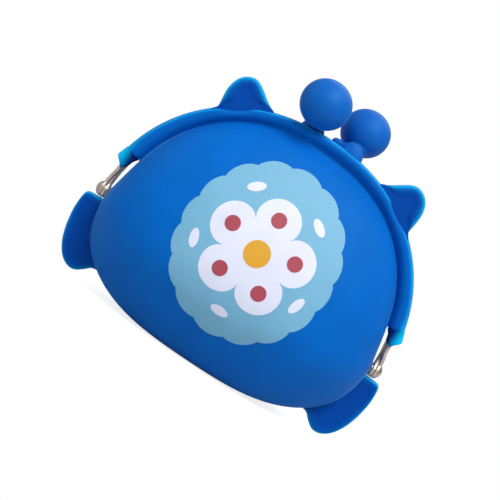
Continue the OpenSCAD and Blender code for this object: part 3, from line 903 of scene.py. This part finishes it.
def round_cone(work, low, high, low_r, high_r, squeeze=1):
    """Closed cone with round ends between two points; squeeze flattens it front to back."""
    along = high - low
    flat = Matrix.Diagonal((1, squeeze, 1, 1))
    turn = along.to_track_quat("Z", "Y").to_matrix().to_4x4()
    bmesh.ops.create_cone(
        work, cap_ends=True, segments=round_sides, radius1=low_r, radius2=high_r,
        depth=along.length, matrix=Matrix.Translation((low + high) / 2) @ flat @ turn)
    for place, radius in ((low, low_r), (high, high_r)):
        bmesh.ops.create_uvsphere(
            work, u_segments=round_sides, v_segments=24, radius=radius,
            matrix=Matrix.Translation(place) @ flat)


def ball_cover(name, cones, lift):
    """Ball, neck and skirt run together, and evened out where they meet."""
    work = bmesh.new()
    middle = ball_place + Vector((0, 0, lift))
    pressed_flat = Matrix.Diagonal((ball_wide, 1, ball_low, 1))
    bmesh.ops.create_icosphere(
        work, subdivisions=5, radius=ball_r, matrix=Matrix.Translation(middle) @ pressed_flat)
    for low, high, low_r, high_r, squeeze in cones:
        round_cone(work, rim_top + Vector(low), rim_top + Vector(high), low_r, high_r, squeeze)
    round_cone(work, rim_top + Vector(throat), middle + Vector(ball_root), throat_r, ball_root_r)
    mesh = bpy.data.meshes.new(name)
    work.to_mesh(mesh)
    work.free()
    lump = placed(name, mesh)
    union = lump.modifiers.new("union", "REMESH")
    union.mode = "VOXEL"
    union.voxel_size = ball_voxel
    even = lump.modifiers.new("even", "SMOOTH")
    even.factor = 0.5
    even.iterations = even_passes
    final = plain(lump)
    final.shade_smooth()
    return placed(name, final)


ball_silicone = silicone("ball_silicone", linear(0, 94, 186), linear(0, 165, 235), gloss=0.36)
front_ball = ball_cover("front_ball", neck_cones + [hump_cone], front_ball_up)
back_ball = ball_cover("back_ball", neck_cones, -back_ball_down)
back_ball.data.transform(Matrix.Rotation(math.pi, 4, "Z"))
for piece, half in ((front_ball, "front_half"), (back_ball, "back_half")):
    point_values(piece, "thin", np.zeros(len(piece.data.vertices)))
    piece.data.materials.append(ball_silicone)
    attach(piece, half)
    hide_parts(piece.name + "_cover")


# Ears. Two flaps are moulded on the front rim. Each is a rounded triangle with a soft raised edge
# and a dished front, and the dish runs down over the rim.
edge_steps = 8
dish_insets = (0.0055, 0.0045, 0.0037, 0.0030, 0.0024)
dish_width = 0.0026
back_insets = (0.0024, 0.0037, 0.0055)
# Painted glow along the front and back roundings of each flap's edge, by angle round the edge.
front_glow = ([0, 0.5, 0.85, 1.2, 1.57], [0.08, 0.35, 1, 0.5, 0.1])
back_glow = ([0, 0.4, 0.9, 1.57], [0.1, 0.25, 0.4, 0.05])


def flap(name, outline, heart, front, back, round_r, dish, sunk=0.0):
    """Thick flap in the xz plane with rounded edges, dished in front; sunk points lie flat in the rim."""
    outline_gap = np.linalg.norm(outline - heart, axis=1)
    dish_floor = front + dish
    points, thin = [], []

    def ring(inset, y, glow_share):
        share = np.minimum(inset / outline_gap, 0.97)[:, None]
        place = outline + (heart - outline) * share
        y = (y * (1 - sunk) + np.maximum(y, dish_floor) * sunk) * np.ones(len(outline))
        points.append(np.stack([place[:, 0], y, place[:, 1]], axis=1))
        thin.append(glow_share * (1 - sunk) * np.ones(len(outline)))

    for inset in dish_insets:
        ring(inset, dish_floor - dish * float(1 - eased((inset - round_r) / dish_width)), 0.0)
    for a in np.linspace(0, math.pi / 2, edge_steps + 1):
        ring(round_r * (1 - math.sin(a)), front + round_r * (1 - math.cos(a)), np.interp(a, *front_glow))
    for a in np.linspace(0, math.pi / 2, edge_steps + 1)[1:]:
        ring(round_r * (1 - math.cos(a)), back - round_r + round_r * math.sin(a), np.interp(a, *back_glow))
    for inset in back_insets:
        ring(inset, back, 0.0)
    piece = swept(name, points, sharp=60)
    point_values(piece, "thin", np.concatenate(thin))
    return piece


ear_front = -0.0061
ear_back = -0.0010
ear_root_h = 0.0028
ear_taper = 0.38
ear_taper_z = 0.0665
ear_taper_h = 0.009
ear_middle_y = -0.0043
# Darker than the body: painted shade for the recessed ear dishes and, below, for the wings in the body's
# shade; the pale colour is a painted glow on their edges.
ear_silicone = silicone("ear_silicone", linear(0, 68, 160), linear(0, 176, 238))
ear_share = np.minimum(np.abs(ear_outline[:, 0]) / rim_half_w, 1)
rim_there = rim_h * (1 - ear_share ** rim_power) ** (1 / rim_power)
on_rim = 1 - eased((ear_outline[:, 1] - hinge_z - rim_there) / ear_root_h)
for side, word in ((-1, "left"), (1, "right")):
    mirrored = np.array([side, 1])
    piece = flap(
        word + "_ear_flap", ear_outline * mirrored, ear_heart * mirrored,
        front=ear_front, back=ear_back, round_r=0.0014, dish=0.0007, sunk=on_rim)
    for vertex in piece.data.vertices:
        slim = 1 - ear_taper * float(eased((vertex.co.z - ear_taper_z) / ear_taper_h))
        vertex.co.y = ear_middle_y + (vertex.co.y - ear_middle_y) * slim
    piece.data.materials.append(ear_silicone)
    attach(piece, "front_half")
    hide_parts(word + "_ear")


# Wings. A thin flap stands out from each side seam of the bowl, rounded at the top and drawn to a
# blunt tip at the bottom. Its root lies in the wall.
wing_knots = [
    (0.0455, 0.0238), (0.0472, 0.0237), (0.0489, 0.0236), (0.0502, 0.0232), (0.0508, 0.0213),
    (0.0510, 0.0178), (0.0507, 0.0145), (0.0501, 0.0112), (0.0489, 0.0075), (0.0469, 0.0042),
    (0.0443, 0.0022), (0.0416, 0.0019), (0.0392, 0.0034), (0.0372, 0.0052)]
wing_sunk = 0.0007
wing_root_z = np.linspace(0.0060, 0.0234, 8)
wing_root_x = half_w * (1 - ((hinge_z - wing_root_z) / base_reach) ** plan_power) ** (1 / plan_power)
wing_knots += list(zip(wing_root_x - wing_sunk, wing_root_z))
wing_heart = np.array([0.0446, 0.0125])
wing_low, wing_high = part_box("right_wing")
for side, word in ((-1, "left"), (1, "right")):
    mirrored = np.array([side, 1])
    piece = flap(
        word + "_wing_flap", spline(wing_knots, steps=7) * mirrored, wing_heart * mirrored,
        front=wing_low[1], back=wing_high[1], round_r=0.0009, dish=0.0004)
    # The wings share the darker silicone, painted shade from the body beside them.
    piece.data.materials.append(ear_silicone)
    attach(piece, "pouch")
    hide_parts(word + "_wing")


# Print. Flat screen-printed inks on the front face: a scalloped medallion, a five-petalled flower
# with leaves between its petals, dark rings and an ochre eye. Each coat lies on the one below.
coat = 0.00007
print_start = (0, -0.06, 0.0372)
print_half_w = 0.0222
print_half_h = 0.0252
scallops = 16
scallop_depth = 0.045
scallop_round = 0.7
petals = 5
petal_reach = 0.0158
petal_root = 0.58
petal_round = 0.55
leaf_half_l = 0.0026
leaf_slimness = 2.1
leaf_ring = (0.0168, 0.0178)
dot_r = 0.0021
dot_ring = (0.0102, 0.0102)
eye_r = 0.0036


def around(count):
    return 2 * math.pi * np.arange(count) / count


def flat_patch(name, radii, rings):
    """Patch of ink, drawn flat round the origin. The last ring, where y is 1, goes down to the skin."""
    count = len(radii)
    a = around(count)
    points = [(0, 0, 0)]
    for share, y in [(k / rings, 0) for k in range(1, rings + 1)] + [(1, 1)]:
        points += zip(radii * share * np.cos(a), np.full(count, y), radii * share * np.sin(a))
    faces = [(0, 1 + i, 1 + (i + 1) % count) for i in range(count)]
    for first in range(1, 1 + rings * count, count):
        for i in range(count):
            j = (i + 1) % count
            faces.append((first + i, first + count + i, first + count + j, first + j))
    patch = bpy.data.meshes.new(name)
    patch.from_pydata(points, [], faces)
    return patch


def medallion():
    """Oval with small scallops round its edge."""
    a = around(384)
    oval = 1 / np.hypot(np.cos(a) / print_half_w, np.sin(a) / print_half_h)
    scallop = np.abs(np.cos(scallops * a / 2)) ** scallop_round
    return flat_patch("medallion_flat", oval * (1 - scallop_depth + scallop_depth * scallop), rings=26)


def flower():
    petal = np.abs(np.cos(petals / 2 * (around(300) - math.pi / 2))) ** petal_round
    return flat_patch("flower_flat", petal_reach * (petal_root + (1 - petal_root) * petal), rings=18)


def leaf():
    a = around(40)
    return flat_patch("leaf_flat", leaf_half_l / np.hypot(np.sin(a), np.cos(a) * leaf_slimness), rings=4)


def ink_tree():
    """Lays ink on the skin: the object's own patch, and another repeated on a ring round it."""
    tree, entry, last = geometry_tree("ink_on_face", {
        "Patch": "Geometry", "Repeated": "Object", "Count": "Int", "Ring Width": "Float",
        "Ring Height": "Float", "First Angle": "Float", "Start": "Vector", "Skin": "Object",
        "Low": "Float", "High": "Float", "Ink": "Material"})
    step = maths(tree, "DIVIDE", 2 * math.pi, entry["Count"])
    index = add_node(tree, "GeometryNodeInputIndex").outputs[0]
    angle = maths(tree, "MULTIPLY_ADD", index, step, entry["First Angle"])
    place = add_node(tree, "ShaderNodeCombineXYZ", {
        "X": maths(tree, "MULTIPLY", maths(tree, "COSINE", angle), entry["Ring Width"]),
        "Z": maths(tree, "MULTIPLY", maths(tree, "SINE", angle), entry["Ring Height"])}).outputs[0]
    ring = add_node(tree, "GeometryNodePoints", {"Count": entry["Count"], "Position": place}).outputs[0]
    euler = add_node(tree, "ShaderNodeCombineXYZ", {"Y": maths(tree, "MULTIPLY", angle, -1.0)}).outputs[0]
    turn = add_node(tree, "FunctionNodeEulerToRotation", {"Euler": euler}).outputs[0]
    drawn = add_node(tree, "GeometryNodeObjectInfo", {"Object": entry["Repeated"]}).outputs["Geometry"]
    patches = add_node(tree, "GeometryNodeInstanceOnPoints", {
        "Points": ring, "Instance": drawn, "Rotation": turn}).outputs[0]
    joined = add_node(tree, "GeometryNodeJoinGeometry")
    tree.links.new(patches, joined.inputs[0])
    tree.links.new(entry["Patch"], joined.inputs[0])
    flat = add_node(tree, "GeometryNodeRealizeInstances", {"Geometry": joined.outputs[0]}).outputs[0]

    spot = add_node(tree, "ShaderNodeSeparateXYZ", {
        0: add_node(tree, "GeometryNodeInputPosition").outputs[0]}).outputs
    level = add_node(tree, "ShaderNodeCombineXYZ", {"X": spot["X"], "Z": spot["Z"]}).outputs[0]
    start = add_node(tree, "ShaderNodeVectorMath", {0: level, 1: entry["Start"]}, operation="ADD").outputs[0]
    face = add_node(tree, "GeometryNodeObjectInfo", {"Object": entry["Skin"]}).outputs["Geometry"]
    hit = add_node(tree, "GeometryNodeRaycast", {
        "Target Geometry": face, "Source Position": start, "Ray Direction": (0, 1, 0)}).outputs
    lift = add_node(tree, "ShaderNodeMix", {0: spot["Y"], 2: entry["High"], 3: entry["Low"]}).outputs[0]
    offset = add_node(tree, "ShaderNodeVectorMath", {
        0: hit["Hit Normal"], "Scale": lift}, operation="SCALE").outputs[0]
    laid = add_node(tree, "GeometryNodeSetPosition", {
        "Geometry": flat, "Position": hit["Hit Position"], "Offset": offset}).outputs[0]
    end_tree(tree, laid, entry["Ink"], last)
    return tree


def ink_material(name, colour):
    """Matt ink with a little cloudiness, and the weave of the printing screen."""
    material, tree, shader = new_material(name, Specular_IOR_Level=0.3)
    place = own_place(tree)
    clouds = noise(tree, place, scale=160.0, detail=4.0)
    shade = ramp(tree, clouds, 0.3, 0.7, low=0.96, high=1.03)
    tint = add_node(tree, "ShaderNodeHueSaturation", {"Color": colour, "Value": shade}).outputs[0]
    rough = ramp(tree, clouds, 0.3, 0.7, low=0.5, high=0.62)
    weave = noise(tree, place, scale=2600.0, detail=2.0)
    surfaced(tree, shader, tint, rough, weave, strength=0.3, depth=0.00004)
    return material


nothing = bpy.data.meshes.new("nothing")
dot = flat_patch("dot_flat", np.full(40, dot_r), rings=3)
eye = flat_patch("eye_flat", np.full(48, eye_r), rings=4)
leaf_angle = math.pi / 2 + math.pi / petals
ink_on_face = ink_tree()
for name, node, slot, colour, patch, repeated, ring, first_angle, low, high in (
    ("ink_medallion", "print_medallion", "ink_pale_blue", linear(114, 174, 206),
     medallion(), nothing, (0, 0), 0.0, -coat, coat),
    ("ink_flower", "print_flower", "ink_white", linear(218, 222, 242),
     flower(), leaf(), leaf_ring, leaf_angle, 0.5 * coat, 2 * coat),
    ("ink_rings", "print_rings", "ink_red", linear(166, 70, 84),
     nothing, dot, dot_ring, math.pi / 2, coat, 3 * coat),
    ("ink_eye", "print_eye", "ink_ochre", linear(216, 160, 44),
     eye, nothing, (0, 0), 0.0, coat, 3 * coat),
):
    stencil = placed(name + "_stencil", repeated)
    piece = grown(name, patch, ink_on_face, {
        "Repeated": stencil, "Count": petals, "Ring Width": ring[0], "Ring Height": ring[1],
        "First Angle": first_angle, "Start": print_start, "Skin": front_skin,
        "Low": low, "High": high, "Ink": ink_material(name, colour)}, sharp=80)
    bpy.data.objects.remove(stencil)
    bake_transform(piece)
    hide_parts(node)


# Studio. A pale floor under the purse, a white surround, a broad soft lamp from the front, above and
# to the right, a weak one from the left and one from behind.
floor_half = 4.0
floor_grey = 0.55
floor_glow = 0.8
white_from = 0.02
white_full = 0.07


def stage_floor():
    """Pale floor with a soft shadow; the camera sees it fade to white away from the purse."""
    mesh = bpy.data.meshes.new("floor")
    corners = [(x * floor_half, y * floor_half, 0) for x, y in ((-1, -1), (1, -1), (1, 1), (-1, 1))]
    mesh.from_pydata(corners, [], [(0, 1, 2, 3)])
    material, tree, shader = new_material(
        "floor", Base_Color=(floor_grey, floor_grey, floor_grey, 1), Roughness=0.9, Specular_IOR_Level=0.0)
    far = add_node(tree, "ShaderNodeVectorMath", {0: own_place(tree)}, operation="LENGTH").outputs["Value"]
    seen = add_node(tree, "ShaderNodeLightPath").outputs["Is Camera Ray"]
    shown = maths(tree, "MULTIPLY", seen, ramp(tree, far, white_from, white_full))
    white = add_node(tree, "ShaderNodeEmission", {"Color": (1, 1, 1, 1), "Strength": 1.0})
    glow = add_node(tree, "ShaderNodeEmission", {
        "Color": (1, 1, 1, 1), "Strength": maths(tree, "MULTIPLY", seen, floor_glow)})
    near = add_node(tree, "ShaderNodeAddShader", {0: shader.outputs[0], 1: glow.outputs[0]})
    both = add_node(tree, "ShaderNodeMixShader", {0: shown, 1: near.outputs[0], 2: white.outputs[0]})
    tree.links.new(both.outputs[0], tree.nodes["Material Output"].inputs["Surface"])
    mesh.materials.append(material)
    placed("floor", mesh)


stage_floor()
sky_light = 0.39
sky_in_gloss = 0.22
world = bpy.data.worlds.new("surround")
scene.world = world
world.use_nodes = True
sky = world.node_tree
sky_rays = add_node(sky, "ShaderNodeLightPath").outputs
sky_shown = maths(sky, "MULTIPLY_ADD", sky_rays["Is Camera Ray"], 1 - sky_light, sky_light)
sky_strength = maths(sky, "MULTIPLY_ADD", sky_rays["Is Glossy Ray"], sky_in_gloss - sky_light, sky_shown)
sky.nodes["Background"].inputs["Color"].default_value = (1, 1, 1, 1)
sky.links.new(sky_strength, sky.nodes["Background"].inputs["Strength"])
lamps_aim = Vector((0, 0, 0.045))


def soft_lamp(name, azimuth, elevation, far, size, power):
    lamp_data = bpy.data.lights.new(name, "AREA")
    lamp_data.shape = "DISK"
    lamp_data.size = size
    lamp_data.energy = power
    a, e = math.radians(azimuth), math.radians(elevation)
    outward = Vector((math.sin(a) * math.cos(e), -math.cos(a) * math.cos(e), math.sin(e)))
    lamp = placed(name, lamp_data)
    lamp.location = lamps_aim + outward * far
    lamp.rotation_mode = "QUATERNION"
    lamp.rotation_quaternion = outward.to_track_quat("Z", "Y")


soft_lamp("key_lamp", azimuth=20, elevation=52, far=0.9, size=0.5, power=7.5)
soft_lamp("left_lamp", azimuth=-80, elevation=30, far=1.0, size=0.6, power=1.2)
soft_lamp("back_lamp", azimuth=165, elevation=50, far=1.0, size=0.8, power=3.0)

scene.view_settings.view_transform = "Standard"
